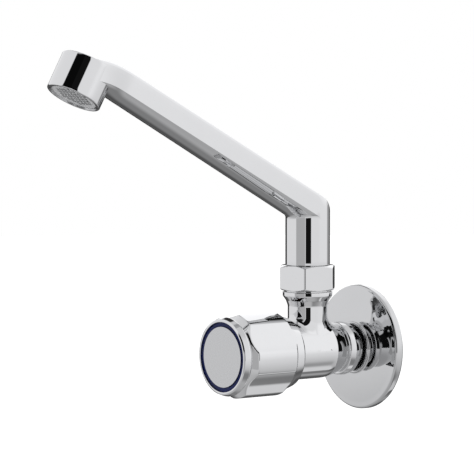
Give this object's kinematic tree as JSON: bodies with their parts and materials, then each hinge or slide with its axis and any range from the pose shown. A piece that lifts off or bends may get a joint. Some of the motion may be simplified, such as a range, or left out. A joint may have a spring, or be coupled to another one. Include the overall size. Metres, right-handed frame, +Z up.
{
  "type": "wall-mounted sink tap",
  "caption": "Wall-mounted sink tap with a fluted turning knob in front, a hexagon swivel nut and a rising spout that swings from side to side and ends in an aerator.",
  "frame": {"origin": "centre of the threaded inlet tail in the plane of the finished wall", "axes": "+Z up, along the riser; +Y into the wall, along the inlet tail; -Y out into the room, the way the spout points at rest; +X to the right of someone facing the wall"},
  "size_m": [0.062, 0.2043, 0.1808],
  "materials": {
    "chrome": "polished chrome plating",
    "brass": "machined",
    "steel": "stainless",
    "ceramic": "lapped ceramic",
    "rubber": "black rubber",
    "fibre": "red fibre",
    "white_plastic": "white acetal",
    "grey_plastic": "grey moulded plastic",
    "satin_disc": "satin silver",
    "blue_ring": "dark blue gloss"
  },
  "bodies": {
    "fixture": {"wall_flange": "chrome", "flange_grip_ring": "rubber", "valve_body": "chrome", "headwork_body": "brass", "headwork_washer": "fibre", "seat_seal": "rubber", "fixed_disc": "ceramic", "swivel_nut": "chrome"},
    "knob": {"spindle": "brass", "spindle_o_rings": "rubber", "thrust_washer": "white_plastic", "spindle_circlip": "steel", "moving_disc": "ceramic", "knob_shell": "chrome", "spline_bush": "white_plastic", "knob_screw": "steel", "face_disc": "satin_disc", "index_ring": "blue_ring"},
    "spout": {"spout_tube": "chrome", "slip_ring": "white_plastic", "spout_o_rings": "rubber", "aerator_housing": "chrome", "aerator_core": "grey_plastic", "aerator_screen": "steel", "aerator_washer": "rubber"}
  },
  "joints": [
    {"name": "knob_turn", "type": "hinge", "parent": "fixture", "child": "knob", "pos_m": [0, -0.07, 0], "axis": [0, -1, 0], "range_deg": [0, 90]},
    {"name": "spout_swivel", "type": "hinge", "parent": "fixture", "child": "spout", "pos_m": [0, -0.036, 0.03], "axis": [0, 0, 1], "range_deg": [-98, 98]}
  ]
}
